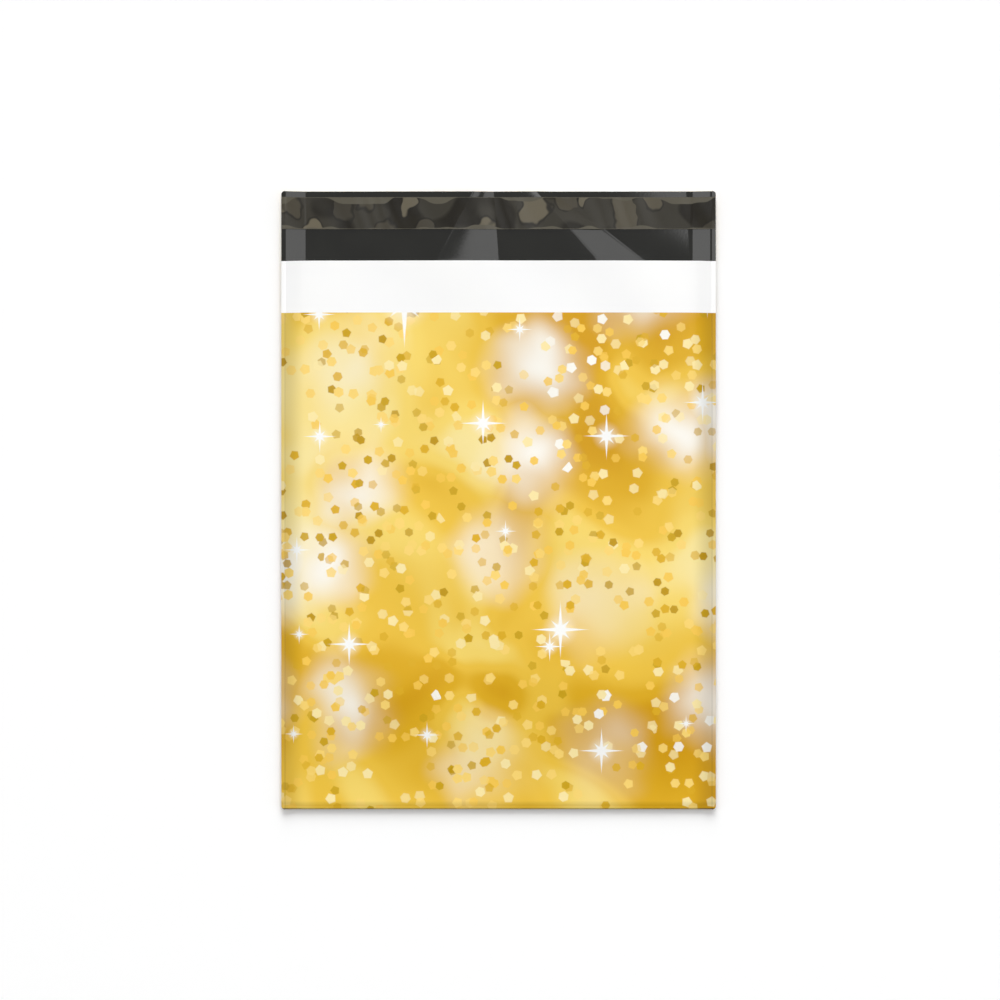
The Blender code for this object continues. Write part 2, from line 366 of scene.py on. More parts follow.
def stops(*marks):
    """Positions from pairs of a place and the number of steps that lead to it."""
    places = [marks[0][0]]
    for place, steps in marks[1:]:
        start = places[-1]
        places += [start + (place - start) * (i + 1) / steps for i in range(steps)]
    return places


def take(*objs):
    """Leaves only these pieces selected, with the first one active."""
    bpy.ops.object.select_all(action="DESELECT")
    for obj in objs:
        obj.select_set(True)
    bpy.context.view_layer.objects.active = objs[0]


def add_sheet(name, columns, rows, shape):
    """A flat sheet divided at these columns and rows, its points then moved to shape(x, row)."""
    bpy.ops.object.select_all(action="DESELECT")
    across, along = len(columns) - 1, len(rows) - 1
    bpy.ops.mesh.primitive_grid_add(x_subdivisions=across, y_subdivisions=along, size=2.0)
    sheet = bpy.context.object
    sheet.name = sheet.data.name = name
    for vert in sheet.data.vertices:
        column = round((vert.co.x + 1.0) / 2.0 * across)
        row = round((vert.co.y + 1.0) / 2.0 * along)
        vert.co = shape(columns[column], rows[row])
    return sheet


def thicken(obj, thickness, offset, inner_slots=0):
    take(obj)
    wall = obj.modifiers.new("thickness", "SOLIDIFY")
    wall.thickness = thickness
    wall.offset = offset
    wall.use_even_offset = True
    wall.material_offset = inner_slots
    wall.material_offset_rim = 0
    bpy.ops.object.modifier_apply(modifier=wall.name)


def smooth(obj, angle):
    take(obj)
    bpy.ops.object.shade_smooth_by_angle(angle=math.radians(angle))


def hand_over(obj, node):
    """Hides the imported node that the piece stands for, and puts the piece on the root body that it rides
    on.
    """
    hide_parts(node)
    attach(obj, "root")


def tone(red, green, blue):
    """A colour given as 0 to 255, as linear values."""
    parts = [value / 255 for value in (red, green, blue)]
    linear = [p / 12.92 if p <= 0.04045 else ((p + 0.055) / 1.055) ** 2.4 for p in parts]
    return (*linear, 1.0)


def put(tree, socket, value):
    if isinstance(value, bpy.types.NodeSocket):
        tree.links.new(value, socket)
    else:
        socket.default_value = value


def calc(tree, operation, *values):
    node = tree.nodes.new("ShaderNodeMath")
    node.operation = operation
    for socket, value in zip(node.inputs, values):
        put(tree, socket, value)
    return node.outputs[0]


def vector(tree, operation, *values):
    node = tree.nodes.new("ShaderNodeVectorMath")
    node.operation = operation
    for socket, value in zip(node.inputs, values):
        put(tree, socket, value)
    return node.outputs[0]


def scaled(tree, place, factor):
    node = tree.nodes.new("ShaderNodeVectorMath")
    node.operation = "SCALE"
    put(tree, node.inputs[0], place)
    put(tree, node.inputs["Scale"], factor)
    return node.outputs[0]


def ramped(tree, value, low, high, to_low=0.0, to_high=1.0):
    node = tree.nodes.new("ShaderNodeMapRange")
    node.interpolation_type = "SMOOTHSTEP"
    for socket, part in zip(node.inputs, (value, low, high, to_low, to_high)):
        put(tree, socket, part)
    return node.outputs[0]


def mixed(tree, factor, first, second, blend="MIX"):
    node = tree.nodes.new("ShaderNodeMix")
    node.data_type = "RGBA"
    node.blend_type = blend
    put(tree, node.inputs[0], factor)
    put(tree, node.inputs[6], first)
    put(tree, node.inputs[7], second)
    return node.outputs[2]


def colours(tree, value, *marks, steps=False):
    node = tree.nodes.new("ShaderNodeValToRGB")
    ramp = node.color_ramp
    ramp.interpolation = "CONSTANT" if steps else "EASE"
    while len(ramp.elements) < len(marks):
        ramp.elements.new(1.0)
    for element, (place, colour) in zip(ramp.elements, marks):
        element.position = place
        element.color = colour
    put(tree, node.inputs[0], value)
    return node.outputs[0]


def clouded(tree, place, scale, detail=1.0, roughness=0.5, distortion=0.0):
    node = tree.nodes.new("ShaderNodeTexNoise")
    node.noise_dimensions = "2D"
    put(tree, node.inputs["Vector"], place)
    node.inputs["Scale"].default_value = scale
    node.inputs["Detail"].default_value = detail
    node.inputs["Roughness"].default_value = roughness
    node.inputs["Distortion"].default_value = distortion
    return node.outputs[0]


def split(tree, place):
    parts = tree.nodes.new("ShaderNodeSeparateXYZ")
    put(tree, parts.inputs[0], place)
    return parts.outputs


def stretched(tree, place, factors):
    node = tree.nodes.new("ShaderNodeMapping")
    node.inputs["Scale"].default_value = factors
    put(tree, node.inputs["Vector"], place)
    return node.outputs[0]


def flat_length(tree, across, along):
    squares = [calc(tree, "MULTIPLY", side, side) for side in (across, along)]
    return calc(tree, "SQRT", calc(tree, "ADD", *squares))


def scattered(tree, place, scale, randomness=1.0):
    """Random points: the nearest one's distance, its place and three random numbers of its own."""
    node = tree.nodes.new("ShaderNodeTexVoronoi")
    node.voronoi_dimensions = "2D"
    node.inputs["Randomness"].default_value = randomness
    put(tree, node.inputs["Vector"], place)
    put(tree, node.inputs["Scale"], scale)
    luck = tree.nodes.new("ShaderNodeSeparateColor")
    put(tree, luck.inputs[0], node.outputs["Color"])
    return node.outputs["Distance"], node.outputs["Position"], luck.outputs


def seen_rays(tree):
    """1 for what the camera sees, straight or in a reflection, and 0 for the light on the object."""
    rays = tree.nodes.new("ShaderNodeLightPath").outputs
    seen = calc(tree, "MAXIMUM", rays["Is Camera Ray"], rays["Is Glossy Ray"])
    return calc(tree, "MAXIMUM", seen, rays["Is Transmission Ray"])


def new_group(name, inputs, outputs):
    """A node group with these sockets, given as names and kinds: the group, its inputs and its outputs."""
    group = bpy.data.node_groups.new(name, "ShaderNodeTree")
    for direction, sockets in (("INPUT", inputs), ("OUTPUT", outputs)):
        for title, kind in sockets:
            group.interface.new_socket(title, in_out=direction, socket_type="NodeSocket" + kind)
    start = group.nodes.new("NodeGroupInput")
    end = group.nodes.new("NodeGroupOutput")
    return group, start.outputs, end.inputs


def use_group(tree, group, *values):
    node = tree.nodes.new("ShaderNodeGroup")
    node.node_tree = group
    for socket, value in zip(node.inputs, values):
        put(tree, socket, value)
    return node.outputs


def wandering(tree, place, scale, reach):
    """The place moved about by up to half of reach, so that what is drawn there gets an uneven outline."""
    node = tree.nodes.new("ShaderNodeTexNoise")
    node.noise_dimensions = "2D"
    put(tree, node.inputs["Vector"], place)
    node.inputs["Scale"].default_value = scale
    node.inputs["Detail"].default_value = 1.0
    shift = vector(tree, "SUBTRACT", node.outputs["Color"], (0.5, 0.5, 0.5))
    return vector(tree, "ADD", place, scaled(tree, shift, reach))


def gold_clouds():
    """How pale the printed gold is at a place, from 0, deep, to 1, cream."""
    group, given, result = new_group("gold clouds", [("Place", "Vector")], [("Paleness", "Float")])
    wide = clouded(group, given[0], CLOUD_SCALE, 1.4, 0.45, 0.35)
    broad = clouded(group, vector(group, "ADD", given[0], BROAD_SHIFT), BROAD_SCALE)
    wide = calc(group, "MULTIPLY", wide, 1.0 - BROAD_SHARE)
    broad = calc(group, "MULTIPLY", broad, BROAD_SHARE)
    both = calc(group, "ADD", wide, broad)
    put(group, result[0], ramped(group, both, CLOUD_DEEP, CLOUD_CREAM))
    return group


def flake_layer(clouds):
    """One scatter of small flat flakes with five or six sides, and the colour of each."""
    group, given, result = new_group(
        "flakes",
        [
            ("Place", "Vector"), ("Shift", "Vector"), ("Sides", "Float"), ("Radius", "Float"),
            ("Share", "Float"),
        ],
        [("Cover", "Float"), ("Colour", "Color")],
    )
    place, shift, sides, radius, share = list(given)[:5]
    shifted = vector(group, "ADD", place, shift)
    middle, luck = scattered(group, shifted, 1.0 / FLAKE_PITCH)[1:]
    spot = vector(group, "SUBTRACT", middle, shift)
    across, along = list(split(group, vector(group, "SUBTRACT", shifted, middle)))[:2]
    reach = flat_length(group, across, along)
    own_turn = calc(group, "MULTIPLY", luck[0], 2 * math.pi)
    angle = calc(group, "ADD", calc(group, "ARCTAN2", along, across), own_turn)
    half_side = calc(group, "DIVIDE", math.pi, sides)
    turned = calc(group, "WRAP", angle, half_side, calc(group, "MULTIPLY", half_side, -1.0))
    to_side = calc(group, "MULTIPLY", reach, calc(group, "COSINE", turned))
    own_size = ramped(group, luck[1], 0.0, 1.0, FLAKE_SMALLEST, FLAKE_LARGEST)
    edge = calc(group, "SUBTRACT", calc(group, "MULTIPLY", radius, own_size), to_side)
    shape = ramped(group, edge, FLAKE_EDGE_OUT, FLAKE_EDGE_IN)
    crowd = calc(group, "SUBTRACT", clouded(group, spot, FLAKE_CROWD_SCALE), 0.5)
    wanted = calc(group, "ADD", share, calc(group, "MULTIPLY", crowd, FLAKE_CROWDING))
    here = calc(group, "LESS_THAN", luck[2], wanted)
    depth = calc(group, "SUBTRACT", 1.0, use_group(group, clouds, spot)[0])
    by_luck = calc(group, "MULTIPLY", luck[1], FLAKE_LUCK)
    mood = calc(group, "ADD", by_luck, calc(group, "MULTIPLY", depth, 1.0 - FLAKE_LUCK))
    colour = colours(
        group, mood,
        (0.0, tone(193, 150, 6)), (0.14, tone(206, 163, 16)), (0.26, tone(225, 176, 32)),
        (0.38, tone(250, 204, 82)), (0.52, tone(254, 218, 118)), (0.71, tone(255, 235, 170)),
        (0.87, tone(255, 252, 242)), steps=True,
    )
    more_luck = calc(group, "FRACT", calc(group, "MULTIPLY", luck[0], FLAKE_LUCK_FACTOR))
    strength = ramped(group, more_luck, 0.0, 0.8, FLAKE_FAINTEST, 1.0)
    cover = calc(group, "MULTIPLY", calc(group, "MULTIPLY", shape, here), strength)
    put(group, result[0], cover)
    put(group, result[1], colour)
    return group


def glint_layer():
    """A scatter of eight-rayed glints: long rays along and across, short ones between."""
    group, given, result = new_group(
        "glints",
        [("Place", "Vector"), ("Pitch", "Float"), ("Ray", "Float"), ("Share", "Float")],
        [("Star", "Float"), ("Glow", "Float")],
    )
    place, pitch, ray, share = list(given)[:4]
    middle, luck = scattered(group, place, calc(group, "DIVIDE", 1.0, pitch), GLINT_RANDOMNESS)[1:]
    offset = split(group, vector(group, "SUBTRACT", place, middle))
    across = calc(group, "ABSOLUTE", offset[0])
    along = calc(group, "ABSOLUTE", offset[1])
    own_size = ramped(group, luck[0], 0.0, 1.0, GLINT_SMALLEST, GLINT_LARGEST)
    length = calc(group, "MULTIPLY", ray, own_size)
    slim = calc(group, "MULTIPLY", length, GLINT_SLIM)
    short = calc(group, "MULTIPLY", length, GLINT_SHORT)
    stout = calc(group, "MULTIPLY", length, GLINT_STOUT)
    slopes = [calc(group, "ABSOLUTE", calc(group, way, offset[0], offset[1])) for way in ("ADD", "SUBTRACT")]
    up_slope, down_slope = [calc(group, "MULTIPLY", slope, math.sqrt(0.5)) for slope in slopes]

    def one_ray(run, side, run_length, side_width):
        left = calc(group, "SUBTRACT", 1.0, calc(group, "DIVIDE", run, run_length))
        return calc(group, "SUBTRACT", left, calc(group, "DIVIDE", side, side_width))

    rays = [
        one_ray(across, along, length, slim), one_ray(along, across, length, slim),
        one_ray(up_slope, down_slope, short, stout), one_ray(down_slope, up_slope, short, stout),
    ]
    star = rays[0]
    for other in rays[1:]:
        star = calc(group, "MAXIMUM", star, other)
    out = calc(group, "DIVIDE", flat_length(group, across, along), length)
    core = ramped(group, out, GLINT_CORE, GLINT_CORE_EDGE, 1.0, 0.0)
    glow = ramped(group, out, 0.0, GLINT_GLOW, 1.0, 0.0)
    here = calc(group, "LESS_THAN", luck[1], share)
    star = calc(group, "MAXIMUM", ramped(group, star, 0.0, 0.32), core)
    put(group, result[0], calc(group, "MULTIPLY", star, here))
    put(group, result[1], calc(group, "MULTIPLY", glow, here))
    return group


def new_material(name, roughness, specular=0.5):
    material = bpy.data.materials.new(name)
    material.use_nodes = True
    shader = material.node_tree.nodes["Principled BSDF"]
    shader.inputs["Roughness"].default_value = roughness
    shader.inputs["Specular IOR Level"].default_value = specular
    return material, material.node_tree, shader


def object_place(tree):
    return tree.nodes.new("ShaderNodeTexCoord").outputs["Object"]


def skin_bump(tree, shader, place, scale, distance):
    """The faint grain of blown film."""
    grain = clouded(tree, place, scale, 2.0, 0.55)
    bump = tree.nodes.new("ShaderNodeBump")
    bump.inputs["Strength"].default_value = 1.0
    bump.inputs["Distance"].default_value = distance
    put(tree, bump.inputs["Height"], grain)
    put(tree, shader.inputs["Normal"], bump.outputs[0])


def painted_seam_shade(tree, amount):
    """1 in the open film, less where shade is painted: on the slopes beside the welds, at the bottom crease
    and on the fold; also less along each weld's inner edge. A negative amount makes it lighter there
    instead.
    """
    x, y = list(split(tree, object_place(tree)))[:2]
    out = calc(tree, "ABSOLUTE", x)
    # Painted shade on the slopes beside the welds, deepest at the welds
    painted_slope_shade = ramped(tree, out, CREASE_X - SHADE_MARGIN, WELD_X, 0.0, amount)
    groove = calc(tree, "ABSOLUTE", calc(tree, "SUBTRACT", out, WELD_X))
    groove = ramped(tree, groove, GROOVE_FULL, GROOVE_REACH, GROOVE_SHADE * amount, 0.0)
    # Painted shade at the crease along the bottom press
    painted_crease_shade = calc(tree, "ABSOLUTE", calc(tree, "SUBTRACT", y, PRESS_Y))
    painted_crease_shade = ramped(tree, painted_crease_shade, 0.0, CREASE_REACH, CREASE_SHADE * amount, 0.0)
    # Painted shade on the fold along the bag's bottom edge
    fold = ramped(tree, y, FOLD_Y + FOLD_FULL, FOLD_Y + FOLD_REACH, FOLD_SHADE * amount, 0.0)
    shade = calc(tree, "ADD", calc(tree, "ADD", painted_slope_shade, groove), calc(tree, "ADD", painted_crease_shade, fold))
    return calc(tree, "SUBTRACT", 1.0, shade)


def shaded(tree, colour, shade):
    grey = tree.nodes.new("ShaderNodeCombineXYZ")
    for socket in grey.inputs:
        put(tree, socket, shade)
    return mixed(tree, 1.0, colour, grey.outputs[0], "MULTIPLY")


def gold_print():
    """Gold clouds with pale glows, scattered flakes and white glints, printed on white film."""
    material, tree, shader = new_material("gold print", 0.30, 0.20)
    where = tree.nodes.new("ShaderNodeUVMap")
    where.uv_map = PRINT_MAP
    place = where.outputs[0]
    clouds = gold_clouds()
    paleness = use_group(tree, clouds, place)[0]
    colour = colours(
        tree, paleness,
        (0.0, tone(213, 157, 2)), (0.30, tone(225, 174, 26)), (0.56, tone(240, 196, 64)),
        (0.80, tone(249, 217, 108)), (1.0, tone(252, 232, 158)),
    )
    glow_place = vector(tree, "ADD", place, GLOW_SHIFT)
    glow_place = wandering(tree, glow_place, GLOW_WANDER_SCALE, GLOW_WANDER)
    out = scattered(tree, glow_place, 1.0 / GLOW_PITCH, GLOW_RANDOMNESS)[0]
    glow = ramped(tree, out, 0.0, GLOW_REACH, 1.0, 0.0)
    strength = ramped(tree, clouded(tree, glow_place, 9.0), 0.34, 0.58, GLOW_FAINTEST, 1.0)
    colour = mixed(tree, calc(tree, "MULTIPLY", glow, strength), colour, tone(254, 250, 240))

    flakes = flake_layer(clouds)
    for shift, sides, radius, share in FLAKES:
        cover, own = use_group(tree, flakes, place, shift, sides, radius, share)
        colour = mixed(tree, cover, colour, own)

    glints = glint_layer()
    for shift, pitch, ray, share in GLINTS:
        star, glow = use_group(tree, glints, vector(tree, "ADD", place, shift), pitch, ray, share)
        glow = calc(tree, "MULTIPLY", glow, GLINT_GLOW_STRENGTH)
        colour = mixed(tree, glow, colour, tone(255, 250, 236))
        colour = mixed(tree, star, colour, tone(255, 255, 252))
    # The print's colour darkened by painted shade beside the welds and along the bottom
    put(tree, shader.inputs["Base Color"], shaded(tree, colour, painted_seam_shade(tree, GOLD_PAINTED_SHADE)))
    skin_bump(tree, shader, object_place(tree), GRAIN_SCALE, GRAIN_HEIGHT)
    return material


def white_film():
    material, tree, shader = new_material("bare white film", 0.30, 0.40)
    place = object_place(tree)
    cast = clouded(tree, place, 25.0, 2.0)
    colour = colours(tree, cast, (0.3, tone(250, 250, 250)), (0.7, tone(252, 252, 251)))
    # Painted light: the white made slightly lighter beside the welds and along the bottom, against the
    # slopes' shade
    put(tree, shader.inputs["Base Color"], shaded(tree, colour, painted_seam_shade(tree, WHITE_PAINTED_LIGHT)))
    skin_bump(tree, shader, place, GRAIN_SCALE, GRAIN_HEIGHT)
    return material


def black_film():
    material, tree, shader = new_material("black inner film", 0.055, 0.32)
    place = object_place(tree)
    cast = clouded(tree, place, 40.0, 3.0)
    darker, paler = (0.0050, 0.0050, 0.0030, 1.0), (0.0076, 0.0076, 0.0052, 1.0)
    colour = colours(tree, cast, (0.3, darker), (0.7, paler))
    put(tree, shader.inputs["Base Color"], colour)
    skin_bump(tree, shader, place, 700.0, 0.000003)
    return material


def air_pockets_with_painted_reflection(tree, place, pitch, share):
    """Long rounded pockets of air under the tape: their cover, their dark rims and each one's paleness,
    which is partly a painted reflection of the lamps.
    """
    moved = wandering(tree, place, AIR_WANDER_SCALE, AIR_WANDER)
    moved = stretched(tree, moved, AIR_STRETCH)
    out, _, luck = scattered(tree, moved, 1.0 / pitch, AIR_RANDOMNESS)
    size = ramped(tree, luck[0], 0.0, 1.0, AIR_SMALLEST, AIR_LARGEST)
    edge = calc(tree, "SUBTRACT", size, out)
    here = calc(tree, "LESS_THAN", luck[1], share)
    cover = calc(tree, "MULTIPLY", ramped(tree, edge, 0.0, AIR_EDGE), here)
    rim = ramped(tree, edge, AIR_RIM_START, AIR_RIM_END, 0.0, AIR_RIM_SHADE)
    return cover, calc(tree, "MULTIPLY", rim, here), luck[2]


def lifted_edges_with_painted_light(tree, place):
    """1 along the tape's two long edges, in tongues of uneven width where it has come off the adhesive:
    there the tape is paler, partly painted light along its edges.
    """
    x, y = list(split(tree, place))[:2]
    along = tree.nodes.new("ShaderNodeCombineXYZ")
    put(tree, along.inputs[0], x)
    lifted_with_painted_light = 0.0
    for edge_y, row, widest in LOOSE_EDGES:
        tongue = clouded(tree, vector(tree, "ADD", along.outputs[0], (0.0, row, 0.0)), TONGUE_SCALE)
        width = ramped(tree, tongue, 0.42, 0.72, TONGUE_NARROWEST, widest)
        inside = calc(tree, "ABSOLUTE", calc(tree, "SUBTRACT", y, edge_y))
        edge = calc(tree, "SUBTRACT", width, inside)
        here = ramped(tree, edge, TONGUE_EDGE_OUT, TONGUE_EDGE_IN)
        lifted_with_painted_light = calc(tree, "MAXIMUM", lifted_with_painted_light, here)
    return lifted_with_painted_light


def release_tape():
    """Clear tape that grips the adhesive in places: dark where it grips, paler where air lies under it or it
    has come off, the pale parts partly a painted reflection of the lamps.
    """
    material, tree, shader = new_material("release tape", 0.24, 0.16)
    place = object_place(tree)
    cloud = clouded(tree, place, 60.0, 2.0)
    colour = colours(tree, cloud, (0.3, tone(21, 17, 8)), (0.7, tone(28, 24, 13)))
    # Paler where the tape has come off, partly a painted reflection
    loose_with_painted_reflection = clouded(tree, vector(tree, "ADD", place, LOOSE_SHIFT), LOOSE_SCALE)
    loose_with_painted_reflection = ramped(tree, loose_with_painted_reflection, LOOSE_START, LOOSE_FULL)
    colour = mixed(tree, loose_with_painted_reflection, colour, tone(52, 49, 41))
    # Air pockets: paler, partly a painted reflection of the lamps, with darker rims
    for shift, pitch, share in AIR_POCKETS:
        cover, rim, paleness = air_pockets_with_painted_reflection(tree, vector(tree, "ADD", place, shift), pitch, share)
        colour = mixed(tree, rim, colour, tone(16, 14, 9))
        own = colours(tree, paleness, (0.0, tone(56, 52, 43)), (1.0, tone(106, 99, 82)))
        colour = mixed(tree, cover, colour, own)
    # Paler tongues along the tape's edges, partly painted light
    lifted_with_painted_light = lifted_edges_with_painted_light(tree, place)
    put(tree, shader.inputs["Base Color"], mixed(tree, lifted_with_painted_light, colour, tone(86, 82, 70)))
    skin_bump(tree, shader, place, 500.0, 0.000004)
    return material


def tacky_adhesive():
    material, tree, shader = new_material("adhesive", 0.30)
    place = object_place(tree)
    streaks = stretched(tree, place, (0.15, 1.0, 1.0))
    cast = clouded(tree, streaks, 900.0, 3.0)
    colour = colours(tree, cast, (0.3, tone(96, 88, 62)), (0.7, tone(128, 118, 88)))
    put(tree, shader.inputs["Base Color"], colour)
    skin_bump(tree, shader, place, 350.0, 0.000012)
    return material


def film_rows():
    """Rows as (y, turn): down the back, round the fold, and up the front. Turn goes from 0 to 1."""
    back = stops(
        (FLAP_END_Y - FILM_SETBACK, 0), (MOUTH_Y, 17), (MOUTH_Y - FOLD_FADE, 16),
        (PRESS_Y + EDGE_REACH, 8), (PRESS_Y, 12), (ROLL_Y, 5),
    )
    turns = [(i + 1) / ROLL_STEPS for i in range(ROLL_STEPS - 1)]
    roll = [(ROLL_Y, turn) for turn in turns]
    front = stops(
        (ROLL_Y, 0), (PRESS_Y, 5), (PRESS_Y + EDGE_REACH, 10), (PRINT_END_Y, 84), (MOUTH_Y, 10),
    )
    return [(y, 0.0) for y in back] + roll + [(y, 1.0) for y in front]


def roll_shape(x, turn):
    """The film's outer face in the roll along the bottom, which is flatter at its ends."""
    middle = EDGE_LIFT + TWO_LAYERS / 2 - HEM_DROOP * hem_part(x, ROLL_Y)
    radius = TWO_LAYERS / 2 + ROLL_ROUND * hem_part(x, ROLL_Y)
    y = FOLD_Y + FILM_SETBACK + radius * (1.0 - math.sin(math.pi * turn))
    return Vector((x, y, middle - radius * math.cos(math.pi * turn)))


def film_shape(x, row):
    y, turn = row
    if y < ROLL_Y + FILM:
        return roll_shape(x, turn)
    if turn == 1.0:
        return Vector((x, y, front_height(x, y)))
    return Vector((column_x(x, y), y, back_height(x, y)))


def mark_front(obj, values):
    front = obj.data.attributes.new("on_front", "BOOLEAN", "FACE")
    front.data.foreach_set("value", values)


def make_folded_sheet():
    round_x = CREASE_X - ROUND_REACH
    folds = [fold[0] for fold in FLAP_FOLDS[2:-2]]
    columns = stops(
        (-WELD_X - WELD_BITE, 0), (-PART_X, 1), (-CREASE_X, 10), (-round_x, 10), (folds[0], 42),
        (folds[1], 26), (folds[2], 38), (folds[3], 18), (round_x, 10), (CREASE_X, 10),
        (PART_X, 10), (WELD_X + WELD_BITE, 1),
    )
    sheet = add_sheet("bag_film_sheet", columns, film_rows(), film_shape)
    rows = film_rows()
    across = len(columns) - 1
    on_front = []
    for face in sheet.data.polygons:
        row = face.index // across
        on_front.append(rows[row][1] > FRONT_TURN and rows[row + 1][1] > FRONT_TURN)
        face.material_index = 1 if on_front[-1] and rows[row][0] > PRINT_END_Y - FILM else 0
    mark_front(sheet, on_front)
    return sheet


def make_side_weld(side):
    """The melted bead up one side, rounded at its corners."""
    rows = stops(
        (FOLD_Y, 0), (FOLD_Y + SIDE_WELD, 1), (PRINT_END_Y, 40), (MOUTH_Y, 6),
        (FLAP_END_Y - SIDE_WELD, 8), (FLAP_END_Y, 1),
    )
    columns = sorted((side * WELD_X, side * HALF_WIDTH))

    def shape(x, y):
        return Vector((x, y, EDGE_LIFT - WELD_COVER))

    bead = add_sheet("left_bead" if side < 0 else "right_bead", columns, rows, shape)
    for face in bead.data.polygons:
        y = face.center.y
        face.material_index = 0 if y < PRINT_END_Y else 1 if y < MOUTH_Y else 2
    take(bead)
    bpy.ops.object.mode_set(mode="EDIT")
    bpy.ops.mesh.select_mode(type="VERT")
    bpy.ops.mesh.select_all(action="DESELECT")
    bpy.ops.object.mode_set(mode="OBJECT")
    for vert in bead.data.vertices:
        outer = abs(vert.co.x) > HALF_WIDTH - FILM
        vert.select = outer and (vert.co.y < FOLD_Y + FILM or vert.co.y > FLAP_END_Y - FILM)
    bpy.ops.object.mode_set(mode="EDIT")
    bpy.ops.mesh.bevel(offset=CORNER_RADIUS, segments=CORNER_STEPS, affect="VERTICES", profile=0.5)
    bpy.ops.object.mode_set(mode="OBJECT")
    return bead


def laid(part, across, up):
    """Where a point lies in one part of the bake map."""
    start_across, start_up, scale_across, scale_up = part
    return (start_across + scale_across * across, start_up + scale_up * up)


def lay_out_maps(film):
    """The print map is the unfolded sheet in metres. The bake map gives the printed front the most room."""
    mesh = film.data
    for name in (PRINT_MAP, BAKE_MAP):
        mesh.uv_layers.new(name=name)
    print_map, bake_map = mesh.uv_layers[PRINT_MAP], mesh.uv_layers[BAKE_MAP]
    on_front = mesh.attributes["on_front"].data
    for face in mesh.polygons:
        front = on_front[face.index].value
        outside = face.material_index < 2
        up = face.normal.z > 0.0
        for loop_index in face.loop_indices:
            co = mesh.vertices[mesh.loops[loop_index].vertex_index].co
            sheet_y = co.y if front else 2 * FOLD_Y - co.y
            print_map.data[loop_index].uv = (co.x, sheet_y)
            u, v = co.x + HALF_WIDTH, co.y - FOLD_Y
            if abs(face.normal.z) < STEEP:
                place = laid(BAKE_EDGES, u, v + BAKE_EDGE_RISE * co.z)
            elif front and up:
                place = laid(BAKE_FRONT, u, v)
            elif not up and outside:
                place = laid(BAKE_BACK, u, v)
            elif not front and v > POCKET_DEPTH:
                place = laid(BAKE_FLAP, u, v - POCKET_DEPTH)
            else:
                place = laid(BAKE_FRONT_LINING if front else BAKE_BACK_LINING, u, v)
            bake_map.data[loop_index].uv = place


def make_film(materials):
    sheet = make_folded_sheet()
    for name in ("print", "bare", "inside", "inside"):
        sheet.data.materials.append(materials[name])
    thicken(sheet, FILM, -1.0, 2)
    beads = []
    for side in (-1, 1):
        bead = make_side_weld(side)
        for name in ("print", "bare", "inside"):
            bead.data.materials.append(materials[name])
        thicken(bead, TWO_LAYERS + 2 * WELD_COVER, 1.0)
        under = [face.normal.z < -0.5 for face in bead.data.polygons]
        for face in bead.data.polygons:
            face.material_index = 0 if under[face.index] else face.material_index
        mark_front(bead, [not below for below in under])
        beads.append(bead)
    take(sheet, *beads)
    bpy.ops.object.join()
    film = bpy.context.object
    film.name = film.data.name = "printed_bag_film"
    lay_out_maps(film)
    smooth(film, FILM_SMOOTH)
    hand_over(film, "bag_film")


def strip_rows(half_width, steps):
    return stops((LINER_Y - half_width, 0), (LINER_Y + half_width, steps))


def make_adhesive(materials):
    reach = WELD_X - ADHESIVE_INSET
    columns = stops((-reach, 0), (reach, ADHESIVE_STEPS[0]))

    def shape(x, y):
        return Vector((column_x(x, y), y, back_height(x, y) + FILM + TOUCH_GAP))

    rows = strip_rows(ADHESIVE_WIDTH / 2, ADHESIVE_STEPS[1])
    strip = add_sheet("adhesive_bead", columns, rows, shape)
    strip.data.materials.append(materials["glue"])
    thicken(strip, ADHESIVE_THICK, 1.0)
    smooth(strip, ADHESIVE_SMOOTH)
    hand_over(strip, "adhesive_strip")


def make_liner(materials):
    """The crinkled tape. Its surface buckles between the places where it grips the adhesive."""
    reach = HALF_WIDTH - LINER_INSET
    columns = stops((-reach, 0), (reach, LINER_STEPS[0]))

    def shape(x, y):
        place = column_x(x, y)
        drift = CRINKLE_DRIFT * math.sin(2 * math.pi * place / CRINKLE_DRIFT_PITCH)
        turns = (place + CRINKLE_SLANT * (y - LINER_Y)) / CRINKLE_PITCH + drift
        ripple = 1.0 + math.sin(2 * math.pi * turns)
        spot = Vector((place, y * LINER_CRUMPLE_STRETCH, LINER_CRUMPLE_SLICE))
        crumple = LINER_CRUMPLE * (1.0 + noise.noise(spot / LINER_CRUMPLE_LENGTH))
        lift = 2 * TOUCH_GAP + ADHESIVE_THICK + CRINKLE * ripple + crumple
        return Vector((place, y, back_height(x, y) + FILM + lift))

    rows = strip_rows(LINER_WIDTH / 2, LINER_STEPS[1])
    liner = add_sheet("release_tape", columns, rows, shape)
    liner.data.materials.append(materials["liner"])
    thicken(liner, LINER_THICK, 1.0)
    smooth(liner, LINER_SMOOTH)
    hand_over(liner, "release_liner")


def make_floor():
    bpy.ops.object.select_all(action="DESELECT")
    bpy.ops.mesh.primitive_plane_add(size=FLOOR_SIZE, location=(0.0, 0.0, FLOOR_Z))
    floor = bpy.context.object
    floor.name = "floor"
    material, tree, shader = new_material("pale floor", 0.9, 0.0)
    shader.inputs["Base Color"].default_value = (FLOOR_WHITE, FLOOR_WHITE, FLOOR_WHITE, 1.0)
    shader.inputs["Emission Color"].default_value = (1.0, 1.0, 1.0, 1.0)
    put(tree, shader.inputs["Emission Strength"], calc(tree, "MULTIPLY", seen_rays(tree), FLOOR_GLOW))
    floor.data.materials.append(material)


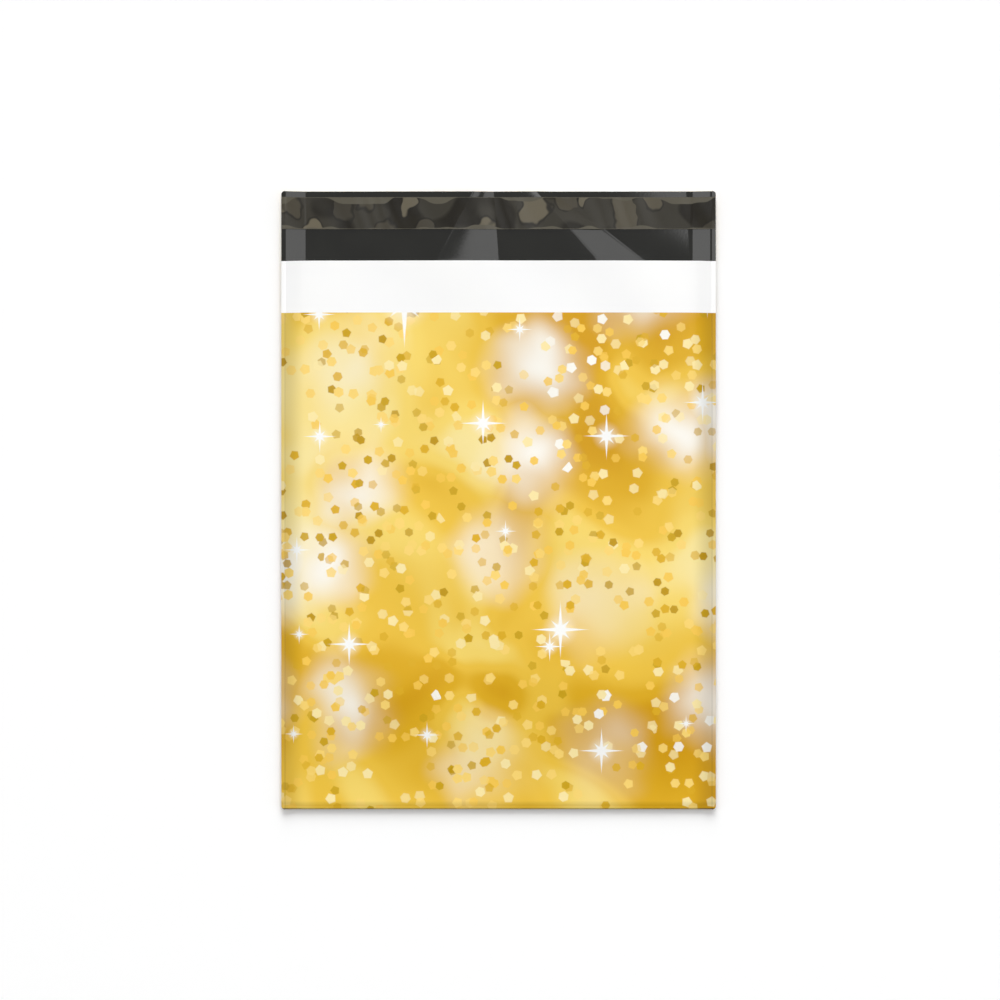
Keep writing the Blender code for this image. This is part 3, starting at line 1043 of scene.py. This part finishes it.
def make_world():
    """White to the eye and in reflections. On the object it is a plain soft light, strongest from above."""
    world = bpy.data.worlds.new("studio")
    bpy.context.scene.world = world
    world.use_nodes = True
    tree = world.node_tree
    ground = tree.nodes["Background"]
    ground.inputs["Color"].default_value = (1.0, 1.0, 1.0, 1.0)
    height = split(tree, tree.nodes.new("ShaderNodeTexCoord").outputs["Generated"])[2]
    level = ramped(tree, height, 0.0, 1.0, SKY_AT_HORIZON, SKY_ABOVE)
    put(tree, ground.inputs["Strength"], ramped(tree, seen_rays(tree), 0.0, 1.0, level, 1.0))


def add_softbox(name, place, target, size, radiance):
    """A flat lamp of this size in metres and this brightness, turned towards its target."""
    data = bpy.data.lights.new(name, "AREA")
    data.shape = "RECTANGLE"
    data.size, data.size_y = size
    data.energy = radiance * math.pi * size[0] * size[1]
    lamp = bpy.data.objects.new(name, data)
    lamp.location = place
    lamp.rotation_euler = (Vector(target) - Vector(place)).to_track_quat("-Z", "Y").to_euler()
    lamp.visible_camera = False
    bpy.context.scene.collection.objects.link(lamp)


def add_far_lamp(name, direction, tilt, angle, share):
    """A far, broad lamp this far off the vertical, which gives flat paper this share of its light."""
    out, up = math.sin(math.radians(tilt)), math.cos(math.radians(tilt))
    data = bpy.data.lights.new(name, "SUN")
    data.angle = math.radians(angle)
    data.energy = share * math.pi / up
    lamp = bpy.data.objects.new(name, data)
    towards = Vector((direction[0] * out, direction[1] * out, up))
    lamp.rotation_euler = towards.to_track_quat("Z", "Y").to_euler()
    lamp.visible_glossy = False
    bpy.context.scene.collection.objects.link(lamp)


def make_studio():
    make_floor()
    make_world()
    for lamp in FAR_LAMPS:
        add_far_lamp(*lamp)
    for lamp in SOFTBOXES:
        add_softbox(*lamp)


def make_camera():
    """Straight above the bag, at the distance that gives the photograph's frame."""
    data = bpy.data.cameras.new("camera")
    data.sensor_width = SENSOR
    data.lens = LENS
    camera = bpy.data.objects.new("camera", data)
    camera.location = CAMERA_PLACE
    bpy.context.scene.collection.objects.link(camera)
    bpy.context.scene.camera = camera


def main():
    materials = {
        "print": gold_print(),
        "bare": white_film(),
        "inside": black_film(),
        "glue": tacky_adhesive(),
        "liner": release_tape(),
    }
    make_film(materials)
    make_adhesive(materials)
    make_liner(materials)
    make_camera()
    make_studio()
    bpy.context.scene.view_settings.view_transform = "Standard"


main()
